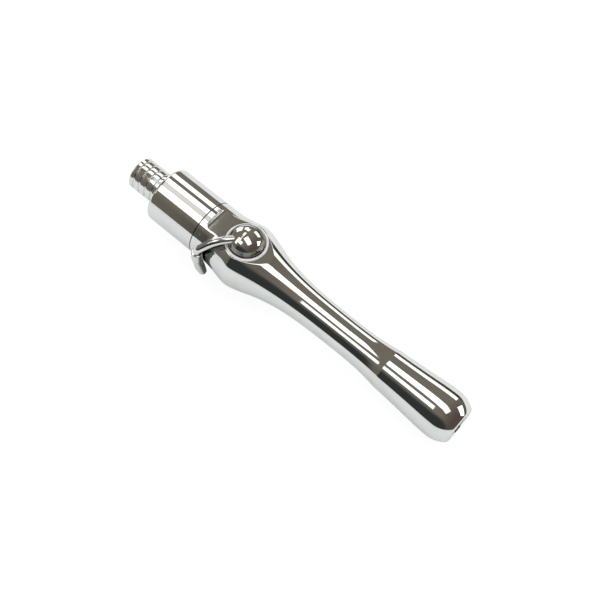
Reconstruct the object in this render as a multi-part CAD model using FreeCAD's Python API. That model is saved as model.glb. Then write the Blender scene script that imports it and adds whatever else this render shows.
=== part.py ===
import FreeCAD, Part
import math
import os

from FreeCAD import Vector

# A hand-held dental suction valve. Millimetres, +Z up, +X along the grip towards the suction tip.
# The origin is on the tip socket's axis, where the socket's straight wall begins.

# Grip and tip bulb
grip_length = 97.0  # valve axis to the mouth's end face
bulge_swell = 1.7  # bulge's radius beyond the barrel's
bulge_shoulder_drop = 0.52  # bulge's radius lost a shoulder run before or behind its crest
bulge_shoulder_run = 3.5
bulge_rear_run = 12.0  # crest back to where the bulge has run out into the barrel's radius
throat_drop = 1.4  # throat's radius below the barrel's
throat_run = 12.0
flare_rise = 0.45  # flare's radius above the waist's
flare_run = 28.0
waist_wall = 2.05
neck_rise = 0.24
neck_setback = 40.0  # mouth's end face back to the start of the bulb's swell
collar_rise = 1.25
collar_setback = 31.5
collar_flare = 0.175  # rise per run of the flare that comes up to the collar's crease
collar_ease = 0.055  # rise per run of the swell that goes on from the crease
swell_drop = 0.62  # swell's radius below the bulb's crest
swell_setback = 17.0
bulb_wall = 3.93
crest_setback = 7.0
mouth_rim = 0.2  # flat left round the mouth

# Suction path
passage_radius = 4.5
tip_socket_radius = 5.55
tip_socket_depth = 20.0
tip_lead_in = 0.4
tip_seal_setback = 5.0  # socket's mouth to the first seal
tip_seal_pitch = 8.0
tip_seal_section = 1.44  # drawn as a suction tip squeezes it, level with the socket's wall

# Rear barrel and hose tail
barrel_radius = 11.0
barrel_length = 21.9
barrel_wall = 2.2
barrel_rim_round = 1.2
seam_setback = 17.5  # valve axis to the seam between body and barrel
seam_chamfer = 0.2
spigot_length = 8.5
tail_bore_radius = 4.4
barb_radius = 6.35
barb_pitch = 2.9
barb_count = 4
barb_root = 2.5  # plain length between the barrel's rear face and the last groove
barb_groove_width = 1.1
barb_groove_depth = 0.55
barb_steep_share = 0.25  # share of a groove's width that each of its walls takes
barb_tip_chamfer = 0.6
tail_flange_height = 1.75  # flange's radius beyond the neck's
tail_flange_thickness = 2.4
swivel_washer_thickness = 0.8
swivel_seal_setback = 2.2  # barrel's inner shoulder to the first swivel seal
swivel_seal_pitch = 4.4

# Plug and its seat in the body
shutoff_land = 0.64  # plug's radius beyond the least that can shut the passage
seat_ring_width = 0.8  # seat ring's radius beyond the plug's
seat_ring_depth = 0.9
seat_rim = 0.28  # flat left beside the seat ring
flat_rear_setback = 14.5
flat_cutter_radius = 2.6
flat_edge_round = 0.3  # left on the flat's edges by the buffing mop
plug_land = 0.85  # metal between the passage and a seal groove
slot_land = 0.45  # metal between the lower seal groove and the stop slot
stop_slot_depth = 1.05
stop_pin_radius = 0.5
stop_pin_circle = 5.3
stop_pin_bury = 1.0
stop_pin_gap = 0.1  # pin's top to the slot's roof
plug_turn = 90.0
floor_thickness = 1.2
plug_stub_radius = 2.4
thrust_washer_thickness = 0.4
spring_washer_height = 0.5
spring_washer_thickness = 0.25
washer_margin = 0.3  # washers' outer radius inside what surrounds them
retaining_washer_thickness = 0.5
counterbore_radius = 4.6
screw_head_radius = 3.2
screw_head_height = 0.7
screw_radius = 1.25
screw_length = 3.4
screw_tip_gap = 0.3
screw_slot_width = 0.8
screw_slot_depth = 0.4

# Seals on the plug, the spigot and the tail
seal_section = 0.96
seal_groove_width = 1.3
seal_sides = 8  # flat sides that stand for the round section of every seal

# Ball head and lever
ball_inset = 0.4  # ball's radius inside the plug's
ball_lift = 0.5  # ball's widest level above the flat
ball_rise = 5.2  # ball's flattened dome above that level
ball_side_radius = 4.5  # turned round the ball's side, into the dome's larger radius
head_stem_radius = 2.5
head_stem_flat = 0.6
head_stem_floor = 0.8  # plug metal left under the stem's hole
lever_angle = 229.0  # lever's direction at rest, turned from +X towards +Y
lever_wire_radius = 1.45
lever_height = 2.4  # wire's centre above the ball's widest level
lever_seat = 3.0  # wire's inner end, out from the valve axis
lever_straight = 7.0  # valve axis to the wire's first bend
lever_first_bend = 11.0
lever_slope = 37.0
lever_second_bend = 3.0
lever_side_gap = 5.0  # wire's hanging end, out from the bulge's radius
tab_length = 15.5
tab_sweep_radius = 50.0
tab_socket_depth = 2.5
tab_collar_wall = 0.65  # tab's metal round the wire's end
tab_width = 3.9
tab_thickness = 3.0
tab_middle = 0.5  # share of the tab's length down to its middle section
tab_taper = 0.92  # width and thickness kept where the tab's end begins to round
tab_end_steps = (0, 35, 60, 80)  # degrees round the tab's domed end

# Clearances
plug_clearance = 0.05
swivel_clearance = 0.05
end_play = 0.03
joint_clearance = 0.02
head_gap = 0.15  # between the ball and the seat ring

# Stations along the grip
mouth_x = tip_lead_in
valve_x = mouth_x - grip_length
seam_x = valve_x - seam_setback
spigot_end_x = seam_x - spigot_length
flange_front_x = spigot_end_x - swivel_washer_thickness - end_play
flange_rear_x = flange_front_x - tail_flange_thickness
barrel_shoulder_x = flange_rear_x - end_play - swivel_washer_thickness
barrel_rear_x = seam_x - barrel_length
tail_tip_x = barrel_rear_x - barb_root - barb_count * barb_pitch

# Radii that follow from the barrel's and from the fits
bulge_radius = barrel_radius + bulge_swell
throat_radius = barrel_radius - throat_drop
waist_radius = passage_radius + waist_wall
bulb_radius = tip_socket_radius + bulb_wall
plug_radius = passage_radius * math.sqrt(2.0) + shutoff_land
plug_bore_radius = plug_radius + plug_clearance
ball_radius = plug_radius - ball_inset
seat_ring_radius = plug_radius + seat_ring_width
barrel_socket_radius = barrel_radius - barrel_wall
spigot_radius = barrel_socket_radius - joint_clearance
tail_flange_radius = barrel_socket_radius - swivel_clearance
tail_neck_radius = tail_flange_radius - tail_flange_height
tail_bearing_radius = tail_neck_radius + swivel_clearance
stub_bore_radius = plug_stub_radius + plug_clearance
stop_slot_half_width = stop_pin_radius + plug_clearance

# Levels through the valve, from the ball down to the screw's head
flat_z = math.sqrt(bulge_radius ** 2 - (seat_ring_radius + seat_rim) ** 2)
ball_z = flat_z + ball_lift
seat_z = flat_z - seat_ring_depth
plug_top_z = seat_z - end_play
stem_end_z = passage_radius + head_stem_floor
plug_seal_z = passage_radius + plug_land + seal_groove_width / 2
slot_roof_z = -(passage_radius + plug_land + seal_groove_width + slot_land)
plug_bottom_z = slot_roof_z - stop_slot_depth
floor_z = plug_bottom_z - end_play - thrust_washer_thickness
floor_under_z = floor_z - floor_thickness
stub_end_z = floor_under_z - end_play - spring_washer_height
screw_seat_z = stub_end_z - retaining_washer_thickness
screw_end_z = screw_seat_z - screw_head_height

# The lever's straight slope and hanging end, in the lever's own plane
slope = math.radians(lever_slope)
knuckle_reach = bulge_radius + lever_side_gap
bends_reach = (lever_first_bend - lever_second_bend) * math.sin(slope) + lever_second_bend
slope_run = (knuckle_reach - lever_straight - bends_reach) / math.cos(slope)
bends_drop = lever_first_bend - (lever_first_bend - lever_second_bend) * math.cos(slope)
knuckle_z = ball_z + lever_height - bends_drop - slope_run * math.sin(slope)

# Directions and reach of the cutting tools
along_x = Vector(1, 0, 0)
along_y = Vector(0, 1, 0)
along_z = Vector(0, 0, 1)
valve_axis = Vector(valve_x, 0, 0)
past = 1.0  # how far a cutting tool runs past the face that it leaves
level_margin = 0.01  # within which an edge counts as lying at a level
clear_of_all = grip_length


def lathe_x(outline):
    """Solid turned about the grip's axis from (station, radius) corners."""
    corners = [Vector(x, radius, 0) for x, radius in outline]
    face = Part.Face(Part.makePolygon(corners + corners[:1]))
    return face.revolve(Vector(0, 0, 0), along_x, 360)


def section_point(radius, level):
    return valve_axis + Vector(0, radius, level)


def outward(lean):
    """Direction in the valve's section that leans out from its axis by an angle."""
    return Vector(0, math.sin(lean), math.cos(lean))


def spun_z(edges):
    """Solid turned about the valve axis from the edges round half of its section."""
    face = Part.Face(Part.Wire(edges))
    return face.revolve(valve_axis, along_z, 360)


def lathe_z(outline):
    """Solid turned about the valve axis from (radius, level) corners."""
    corners = [section_point(radius, level) for radius, level in outline]
    return spun_z(Part.makePolygon(corners + corners[:1]).Edges)


def rod_x(radius, start, end):
    return Part.makeCylinder(radius, end - start, Vector(start, 0, 0), along_x)


def rod_z(radius, low, high):
    return Part.makeCylinder(radius, high - low, Vector(valve_x, 0, low), along_z)


def tube_x(inner, outer, start, end):
    return rod_x(outer, start, end).cut(rod_x(inner, start - past, end + past))


def tube_z(inner, outer, low, high):
    return rod_z(outer, low, high).cut(rod_z(inner, low - past, high + past))


def seal_groove_x(floor, wall, middle, width):
    """Metal taken out between two radii for a seal along the grip."""
    return tube_x(floor, wall, middle - width / 2, middle + width / 2)


def seal_groove_z(floor, wall, middle, width):
    return tube_z(floor, wall, middle - width / 2, middle + width / 2)


def seal_section_corners(inner, outer, middle):
    """(station, radius) corners of a seal's round section, drawn with few sides."""
    corner_radius = (outer - inner) / 2 / math.cos(math.pi / seal_sides)
    corners = []
    for index in range(seal_sides):
        angle = 2 * math.pi * (index + 0.5) / seal_sides
        station = middle + corner_radius * math.sin(angle)
        corners.append((station, (inner + outer) / 2 + corner_radius * math.cos(angle)))
    return corners


def seal_x(inner, outer, middle):
    return lathe_x(seal_section_corners(inner, outer, middle))


def seal_z(inner, outer, middle):
    corners = seal_section_corners(inner, outer, middle)
    return lathe_z([(radius, level) for level, radius in corners])


def body_outline():
    """Closed half outline of the turned body: spigot, bulge, grip, bulb and rounded mouth."""
    flare_x = valve_x + flare_run
    neck_x = mouth_x - neck_setback
    crest_x = mouth_x - crest_setback
    crease = Vector(mouth_x - collar_setback, waist_radius + collar_rise, 0)
    shoulder_radius = bulge_radius - bulge_shoulder_drop
    handle_stations = [
        (valve_x - bulge_rear_run, barrel_radius),
        (valve_x - bulge_shoulder_run, shoulder_radius),
        (valve_x, bulge_radius),
        (valve_x + bulge_shoulder_run, shoulder_radius),
        (valve_x + throat_run, throat_radius),
        (flare_x, waist_radius + flare_rise),
        ((flare_x + neck_x) / 2, waist_radius),
        (neck_x, waist_radius + neck_rise),
    ]
    handle = Part.BSplineCurve()
    handle.interpolate(
        Points=[Vector(x, radius, 0) for x, radius in handle_stations] + [crease],
        InitialTangent=along_x,
        FinalTangent=Vector(1, collar_flare, 0),
    )
    bulb = Part.BSplineCurve()
    bulb.interpolate(
        Points=[
            crease,
            Vector(mouth_x - swell_setback, bulb_radius - swell_drop, 0),
            Vector(crest_x, bulb_radius, 0),
        ],
        InitialTangent=Vector(1, collar_ease, 0),
        FinalTangent=along_x,
    )
    rim_radius = tip_socket_radius + tip_lead_in + mouth_rim
    mouth_ellipse = Part.Ellipse(
        Vector(mouth_x, rim_radius, 0),
        Vector(crest_x, bulb_radius, 0),
        Vector(crest_x, rim_radius, 0),
    )
    mouth = Part.ArcOfEllipse(mouth_ellipse, 0, math.pi / 2)
    corners = [
        Vector(mouth_x, rim_radius, 0),
        Vector(mouth_x, 0, 0),
        Vector(spigot_end_x, 0, 0),
        Vector(spigot_end_x, spigot_radius - seam_chamfer, 0),
        Vector(spigot_end_x + seam_chamfer, spigot_radius, 0),
        Vector(seam_x, spigot_radius, 0),
        Vector(seam_x, barrel_radius - seam_chamfer, 0),
        Vector(seam_x + seam_chamfer, barrel_radius, 0),
        Vector(valve_x - bulge_rear_run, barrel_radius, 0),
    ]
    edges = Part.makePolygon(corners).Edges + [handle.toShape(), bulb.toShape(), mouth.toShape()]
    return Part.Wire(Part.__sortEdges__(edges))


def flat_cutter():
    """Milling cut for the seat flat, with the cutter's own radius left at its rear end."""
    start = Vector(valve_x - flat_rear_setback, 0, flat_z)
    centre = start + Vector(0, 0, flat_cutter_radius)
    side = flat_cutter_radius * math.sqrt(0.5)
    run_out = Part.Arc(
        start,
        centre + Vector(-side, 0, -side),
        centre + Vector(-flat_cutter_radius, 0, 0),
    ).toShape()
    corners = [
        centre + Vector(-flat_cutter_radius, 0, 0),
        Vector(start.x - flat_cutter_radius, 0, bulge_radius + past),
        Vector(valve_x + flare_run, 0, bulge_radius + past),
        Vector(valve_x + flare_run, 0, flat_z),
        start,
    ]
    edges = Part.makePolygon(corners).Edges + [run_out]
    face = Part.Face(Part.Wire(Part.__sortEdges__(edges)))
    face.translate(Vector(0, -bulge_radius, 0))
    return face.extrude(along_y * (2 * bulge_radius))


def tip_socket():
    """Tool for the socket that takes the suction tip: lead-in, straight wall and seal grooves."""
    lead_radius = tip_socket_radius + tip_lead_in
    tool = lathe_x([
        (-tip_socket_depth, 0),
        (-tip_socket_depth, tip_socket_radius),
        (0, tip_socket_radius),
        (mouth_x, lead_radius),
        (mouth_x + past, lead_radius),
        (mouth_x + past, 0),
    ])
    for middle in tip_seal_stations():
        floor = tip_socket_radius + tip_seal_section + joint_clearance
        width = tip_seal_section + 2 * seam_chamfer
        tool = tool.fuse(rod_x(floor, middle - width / 2, middle + width / 2))
    return tool


def tip_seal_stations():
    return [-tip_seal_setback, -tip_seal_setback - tip_seal_pitch]


def valve_seat():
    """Tool for the plug's bore, the seat ring's counterbore, the floor and what lies under it."""
    return lathe_z([
        (0, clear_of_all),
        (seat_ring_radius + joint_clearance, clear_of_all),
        (seat_ring_radius + joint_clearance, seat_z),
        (plug_bore_radius, seat_z),
        (plug_bore_radius, floor_z),
        (stub_bore_radius, floor_z),
        (stub_bore_radius, floor_under_z),
        (counterbore_radius, floor_under_z),
        (counterbore_radius, -clear_of_all),
        (0, -clear_of_all),
    ])


def stop_pin(clearance):
    """Pin in the body's floor, straight ahead of the valve axis, that stops the plug's turn."""
    place = Vector(valve_x + stop_pin_circle, 0, floor_z - stop_pin_bury)
    height = slot_roof_z - stop_pin_gap - place.z
    return Part.makeCylinder(stop_pin_radius + clearance, height, place, along_z)


def main_body():
    blank = Part.Face(body_outline()).revolve(Vector(0, 0, 0), along_x, 360)
    passage = rod_x(passage_radius, spigot_end_x - past, -tip_socket_depth + past)
    joint_seal_groove = seal_groove_x(
        spigot_radius - seal_section,
        spigot_radius + past,
        joint_seal_station(),
        seal_groove_width,
    )
    body = blank.cut(flat_cutter())
    flat_edges = [edge for edge in body.Edges if edge.BoundBox.ZMin > flat_z - level_margin]
    body = body.makeFillet(flat_edge_round, flat_edges)
    for tool in [passage, tip_socket(), valve_seat(), joint_seal_groove]:
        body = body.cut(tool)
    return body.cut(stop_pin(joint_clearance))


def joint_seal_station():
    return (spigot_end_x + seam_x) / 2


def rear_barrel():
    """Screwed onto the body's spigot; its inner shoulder traps the tail's flange."""
    barrel = lathe_x([
        (barrel_rear_x, tail_bearing_radius + seam_chamfer),
        (barrel_rear_x + seam_chamfer, tail_bearing_radius),
        (barrel_shoulder_x, tail_bearing_radius),
        (barrel_shoulder_x, barrel_socket_radius),
        (seam_x, barrel_socket_radius),
        (seam_x, barrel_radius - seam_chamfer),
        (seam_x - seam_chamfer, barrel_radius),
        (barrel_rear_x, barrel_radius),
    ])
    rim = [
        edge
        for edge in barrel.Edges
        if abs(edge.BoundBox.XMin - barrel_rear_x) < joint_clearance
        and abs(edge.BoundBox.XMax - barrel_rear_x) < joint_clearance
        and edge.BoundBox.YMax > barrel_radius - seam_chamfer
    ]
    return barrel.makeFillet(barrel_rim_round, rim)


def hose_tail():
    """Swivelling tailpiece: trapped flange, sealed neck and the ridges that grip the hose."""
    tail = lathe_x([
        (flange_front_x, tail_bore_radius),
        (flange_front_x, tail_flange_radius),
        (flange_rear_x, tail_flange_radius),
        (flange_rear_x, tail_neck_radius),
        (barrel_rear_x, tail_neck_radius),
        (barrel_rear_x, barb_radius),
        (tail_tip_x + barb_tip_chamfer, barb_radius),
        (tail_tip_x, barb_radius - barb_tip_chamfer),
        (tail_tip_x, tail_bore_radius),
    ])
    for index in range(barb_count):
        tail = tail.cut(barb_groove(tail_tip_x + (index + 1) * barb_pitch))
    for middle in swivel_seal_stations():
        groove = seal_groove_x(
            tail_neck_radius - seal_section,
            tail_neck_radius + past,
            middle,
            seal_groove_width,
        )
        tail = tail.cut(groove)
    return tail


def barb_groove(ridge_end_x):
    """Narrow groove with steep walls and a plain floor, between two ridges."""
    floor_radius = barb_radius - barb_groove_depth
    steep = barb_groove_width * barb_steep_share
    return lathe_x([
        (ridge_end_x - barb_groove_width, barb_radius),
        (ridge_end_x - barb_groove_width + steep, floor_radius),
        (ridge_end_x - steep, floor_radius),
        (ridge_end_x, barb_radius),
        (ridge_end_x, barb_radius + past),
        (ridge_end_x - barb_groove_width, barb_radius + past),
    ])


def swivel_seal_stations():
    first = barrel_shoulder_x - swivel_seal_setback
    return [first, first - swivel_seal_pitch]


def swivel_washer(front_x):
    inner = tail_neck_radius + swivel_clearance
    outer = barrel_socket_radius - joint_clearance
    return tube_x(inner, outer, front_x - swivel_washer_thickness, front_x)


def shaft_seal_x(shaft_radius, middle):
    """Seal in a shaft's groove, standing a joint clearance off the groove's floor."""
    inner = shaft_radius - seal_section + joint_clearance
    return seal_x(inner, shaft_radius, middle)


def tip_seal(middle):
    return seal_x(tip_socket_radius, tip_socket_radius + tip_seal_section, middle)


def valve_plug():
    """Cross-bored plug with a stub that passes through the body's floor."""
    plug = lathe_z([
        (0, plug_top_z),
        (plug_radius, plug_top_z),
        (plug_radius, plug_bottom_z),
        (plug_stub_radius, plug_bottom_z),
        (plug_stub_radius, stub_end_z),
        (0, stub_end_z),
    ])
    cross_bore = rod_x(passage_radius, valve_x - bulge_radius, valve_x + bulge_radius)
    screw_hole = rod_z(
        screw_radius + joint_clearance,
        stub_end_z - past,
        screw_seat_z + screw_length + screw_tip_gap,
    )
    for tool in [cross_bore, head_stem(joint_clearance), stop_slot(), screw_hole]:
        plug = plug.cut(tool)
    for middle in (plug_seal_z, -plug_seal_z):
        groove = seal_groove_z(
            plug_radius - seal_section,
            plug_radius + past,
            middle,
            seal_groove_width,
        )
        plug = plug.cut(groove)
    return plug


def stop_slot():
    """Arc slot under the plug, as long as the plug's turn, with round ends for the pin."""
    start = valve_axis + Vector(stop_pin_circle, 0, 0)
    corners = [
        start + Vector(-stop_slot_half_width, 0, plug_bottom_z - past),
        start + Vector(stop_slot_half_width, 0, plug_bottom_z - past),
        start + Vector(stop_slot_half_width, 0, slot_roof_z),
        start + Vector(-stop_slot_half_width, 0, slot_roof_z),
    ]
    face = Part.Face(Part.makePolygon(corners + corners[:1]))
    slot = face.revolve(valve_axis, along_z, -plug_turn)
    low = Vector(0, 0, plug_bottom_z - past)
    height = slot_roof_z - low.z
    for angle in (0.0, -plug_turn):
        end = Part.makeCylinder(stop_slot_half_width, height, start + low, along_z)
        end.rotate(valve_axis, along_z, angle)
        slot = slot.fuse(end)
    return slot


def plug_seal(middle):
    inner = plug_radius - seal_section + joint_clearance
    return seal_z(inner, plug_radius, middle)


def seat_ring():
    """Ring pressed into the flat round the ball; its half-round bead is the bright rim."""
    inner = ball_radius + head_gap
    bead_radius = (seat_ring_radius - inner) / 2
    outer_edge = section_point(seat_ring_radius, flat_z)
    crown = section_point(inner + bead_radius, flat_z + bead_radius)
    inner_edge = section_point(inner, flat_z)
    return spun_z([
        Part.Arc(outer_edge, crown, inner_edge).toShape(),
        Part.makeLine(inner_edge, section_point(inner, seat_z)),
        Part.makeLine(section_point(inner, seat_z), section_point(seat_ring_radius, seat_z)),
        Part.makeLine(section_point(seat_ring_radius, seat_z), outer_edge),
    ])


def plug_thrust_washer():
    inner = stub_bore_radius + joint_clearance
    outer = stop_pin_circle - stop_pin_radius - washer_margin
    return tube_z(inner, outer, floor_z, floor_z + thrust_washer_thickness)


def plug_spring_washer():
    """Coned washer that bears up on the floor and down on the retaining washer's rim."""
    inner = stub_bore_radius + joint_clearance
    outer = counterbore_radius - washer_margin
    top = floor_under_z - end_play
    return lathe_z([
        (inner, top),
        (outer, stub_end_z + spring_washer_thickness),
        (outer, stub_end_z),
        (inner, top - spring_washer_thickness),
    ])


def plug_retaining_washer():
    inner = screw_radius + joint_clearance
    outer = counterbore_radius - washer_margin
    return tube_z(inner, outer, screw_seat_z, stub_end_z)


def plug_retaining_screw():
    """Slotted screw whose head clamps the retaining washer on the stub's end."""
    screw = rod_z(screw_head_radius, screw_end_z, screw_seat_z)
    screw = screw.fuse(rod_z(screw_radius, screw_seat_z - past / 2, screw_seat_z + screw_length))
    slot = Part.makeBox(
        2 * screw_head_radius + past,
        screw_slot_width,
        screw_slot_depth + past,
        Vector(
            valve_x - screw_head_radius - past / 2,
            -screw_slot_width / 2,
            screw_end_z - past,
        ),
    )
    return screw.cut(slot)


def head_stem(clearance):
    """Two-flatted stem that carries the ball head's turn into the plug."""
    low = stem_end_z - clearance
    high = plug_top_z + past
    half = head_stem_radius - head_stem_flat + clearance
    between_flats = Part.makeBox(
        4 * head_stem_radius,
        2 * half,
        high - low,
        Vector(valve_x - 2 * head_stem_radius, -half, low),
    )
    return rod_z(head_stem_radius + clearance, low, high).common(between_flats)


def lever_point(reach, level):
    """Point in the lever's own plane, before the lever is turned to its angle."""
    return Vector(valve_x + reach, 0, level)


def ball_head():
    """Flattened ball on the plug's top, bored from the side for the lever's wire."""
    side_reach = ball_radius - ball_side_radius
    dome_radius = side_reach ** 2 + ball_rise ** 2 - ball_side_radius ** 2
    dome_radius = dome_radius / (2 * (ball_rise - ball_side_radius))
    join = math.atan2(side_reach, dome_radius - ball_rise)  # of the two arcs, from the top
    side_centre = section_point(side_reach, ball_z)
    dome_centre = section_point(0, ball_z + ball_rise - dome_radius)
    widest = section_point(ball_radius, ball_z)
    side = side_centre + outward((join + math.pi / 2) / 2) * ball_side_radius
    shoulder = side_centre + outward(join) * ball_side_radius
    brow = dome_centre + outward(join / 2) * dome_radius
    top = section_point(0, ball_z + ball_rise)
    ball = spun_z([
        Part.Arc(widest, side, shoulder).toShape(),
        Part.Arc(shoulder, brow, top).toShape(),
        Part.makeLine(top, section_point(0, plug_top_z)),
        Part.makeLine(section_point(0, plug_top_z), section_point(ball_radius, plug_top_z)),
        Part.makeLine(section_point(ball_radius, plug_top_z), widest),
    ])
    ball = ball.fuse(head_stem(0))
    wire_hole = Part.makeCylinder(
        lever_wire_radius + joint_clearance,
        2 * ball_radius,
        lever_point(lever_seat, ball_z + lever_height),
        along_x,
    )
    return ball.cut(turned_to_lever(wire_hole))


def turned_to_lever(shape):
    shape.rotate(valve_axis, along_z, lever_angle)
    return shape


def bend(centre, radius, start, end):
    """Arc in the lever's plane between two angles from the vertical, and its end point."""
    places = []
    for angle in (start, (start + end) / 2, end):
        turn = math.radians(angle)
        places.append(centre + Vector(radius * math.sin(turn), 0, radius * math.cos(turn)))
    return Part.Arc(*places).toShape(), places[2]


def lever_wire():
    """Rod swept out of the ball, over two bends and down into the tab's socket."""
    seat = lever_point(lever_seat, ball_z + lever_height)
    first = lever_point(lever_straight, ball_z + lever_height)
    first_centre = first - Vector(0, 0, lever_first_bend)
    first_arc, first_end = bend(first_centre, lever_first_bend, 0, lever_slope)
    second = first_end + Vector(math.cos(slope), 0, -math.sin(slope)) * slope_run
    inward = Vector(-math.sin(slope), 0, -math.cos(slope))
    second_centre = second + inward * lever_second_bend
    second_arc, knuckle = bend(second_centre, lever_second_bend, lever_slope, 90)
    route = Part.Wire([
        Part.makeLine(seat, first),
        first_arc,
        Part.makeLine(first_end, second),
        second_arc,
        Part.makeLine(knuckle, knuckle - Vector(0, 0, tab_socket_depth)),
    ])
    section = Part.Wire(Part.makeCircle(lever_wire_radius, seat, along_x))
    return turned_to_lever(route.makePipeShell([section], True, True))


def tab_section(knuckle, along, width, thickness):
    """Ellipse across the tab, a distance along the tab's gently curved middle line."""
    turn = along / tab_sweep_radius
    outward = Vector(math.cos(turn), 0, -math.sin(turn))
    centre = knuckle + outward * tab_sweep_radius - along_x * tab_sweep_radius
    ellipse = Part.Ellipse(
        centre + along_y * (width / 2),
        centre + outward * (thickness / 2),
        centre,
    )
    return Part.Wire(ellipse.toShape())


def thumb_tab():
    """Thumb tab that hangs from the wire's end, with a collar that the wire is brazed into."""
    knuckle = lever_point(knuckle_reach, knuckle_z)
    collar = 2 * (lever_wire_radius + tab_collar_wall)
    dome = tab_thickness / 2
    sections = [
        (0, collar, collar - joint_clearance),
        (tab_socket_depth + tab_collar_wall, collar, collar - joint_clearance),
        (tab_length * tab_middle, tab_width, tab_thickness),
    ]
    for step in tab_end_steps:
        along = tab_length - dome + dome * math.sin(math.radians(step))
        share = tab_taper * math.cos(math.radians(step))
        sections.append((along, tab_width * share, tab_thickness * share))
    blank = Part.makeLoft([tab_section(knuckle, *section) for section in sections], True)
    socket = Part.makeCylinder(
        lever_wire_radius + joint_clearance,
        tab_socket_depth + past,
        knuckle + along_z * past,
        along_z * -1,
    )
    return turned_to_lever(blank.cut(socket))


def export(name, shape):
    shape.exportStep(os.path.join("parts", name + ".step"))


os.makedirs("parts", exist_ok=True)

export("main_body", main_body())
export("rear_barrel", rear_barrel())
export("hose_tail", hose_tail())
export("valve_plug", valve_plug())
export("ball_head", ball_head())
export("seat_ring", seat_ring())
export("lever_wire", lever_wire())
export("thumb_tab", thumb_tab())
export("stop_pin", stop_pin(0))
export("plug_thrust_washer", plug_thrust_washer())
export("plug_spring_washer", plug_spring_washer())
export("plug_retaining_washer", plug_retaining_washer())
export("plug_retaining_screw", plug_retaining_screw())
export("upper_plug_seal", plug_seal(plug_seal_z))
export("lower_plug_seal", plug_seal(-plug_seal_z))
export("barrel_joint_seal", shaft_seal_x(spigot_radius, joint_seal_station()))
export("swivel_front_washer", swivel_washer(spigot_end_x))
export("swivel_rear_washer", swivel_washer(barrel_shoulder_x + swivel_washer_thickness))
for name, middle in zip(("swivel_front_seal", "swivel_rear_seal"), swivel_seal_stations()):
    export(name, shaft_seal_x(tail_neck_radius, middle))
for name, middle in zip(("tip_front_seal", "tip_rear_seal"), tip_seal_stations()):
    export(name, tip_seal(middle))
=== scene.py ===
import math

import bmesh
import bpy
import numpy as np
from mathutils import Matrix, Vector


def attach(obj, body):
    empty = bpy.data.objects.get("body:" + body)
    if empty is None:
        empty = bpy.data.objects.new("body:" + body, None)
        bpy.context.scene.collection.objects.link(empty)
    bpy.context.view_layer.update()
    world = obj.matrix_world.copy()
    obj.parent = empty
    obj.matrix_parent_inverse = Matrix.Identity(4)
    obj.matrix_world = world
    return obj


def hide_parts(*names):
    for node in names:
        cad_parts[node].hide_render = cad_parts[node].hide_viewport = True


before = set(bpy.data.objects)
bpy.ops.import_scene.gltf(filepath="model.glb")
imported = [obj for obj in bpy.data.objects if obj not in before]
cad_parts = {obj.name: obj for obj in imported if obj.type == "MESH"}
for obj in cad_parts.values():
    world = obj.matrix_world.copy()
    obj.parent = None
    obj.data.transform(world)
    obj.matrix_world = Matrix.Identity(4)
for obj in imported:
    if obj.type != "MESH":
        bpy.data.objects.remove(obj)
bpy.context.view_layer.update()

# Main body. One brass bar turned to spigot, bulge, slim grip and tip bulb, bored through for the
# suction air and milled flat where the ball head stands. It is buffed and chrome plated all over.
mm = 0.001
valve_x = -96.6
bulge_radius = 12.7
mouth_x = 0.4
seam_x = -114.1
spigot_end_x = -122.6
spigot_radius = 8.78
barrel_radius = 11.0
seam_round = 0.06
seam_gap = 0.3
passage_radius = 4.5
socket_radius = 5.55
socket_depth = 20.0
socket_lead = 0.4
seal_groove_floor = 7.01
seal_groove_half = 0.92
tip_seal_stations = (-5.0, -13.0)
joint_groove_x = -118.35
joint_groove_half = 0.65
joint_groove_floor = 7.82
crease_x = -31.1
crease_radius = 7.8
crest_x = -6.6
bulb_radius = 9.48
handle_points = [
    (valve_x - 12.0, barrel_radius),
    (valve_x - 3.5, 12.18),
    (valve_x, bulge_radius),
    (valve_x + 3.5, 12.18),
    (valve_x + 12.0, 9.6),
    (valve_x + 28.0, 7.0),
    (-54.1, 6.55),
    (-39.6, 6.79),
    (crease_x, crease_radius),
]
collar_flare = 0.175
bulb_points = [(crease_x, crease_radius), (-16.6, 8.86), (crest_x, bulb_radius)]
collar_ease = 0.055
mouth_rim_radius = 6.15
nose_length = mouth_x - crest_x
nose_drop = bulb_radius - mouth_rim_radius
nose_sweep = math.radians(38.0)
flat_half_width = 8.084
flat_z = math.sqrt(bulge_radius**2 - flat_half_width**2)
flat_rear_x = valve_x - 13.95
cutter_radius = 1.25
flat_front_x = -85.3
edge_blend = 0.13
seat_z = flat_z - 0.9
plug_bore_radius = 7.054
ring_pocket_radius = 7.824
plug_floor_z = -8.58
floor_under_z = -9.78
stub_bore_radius = 2.45
counterbore_radius = 4.6


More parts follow.
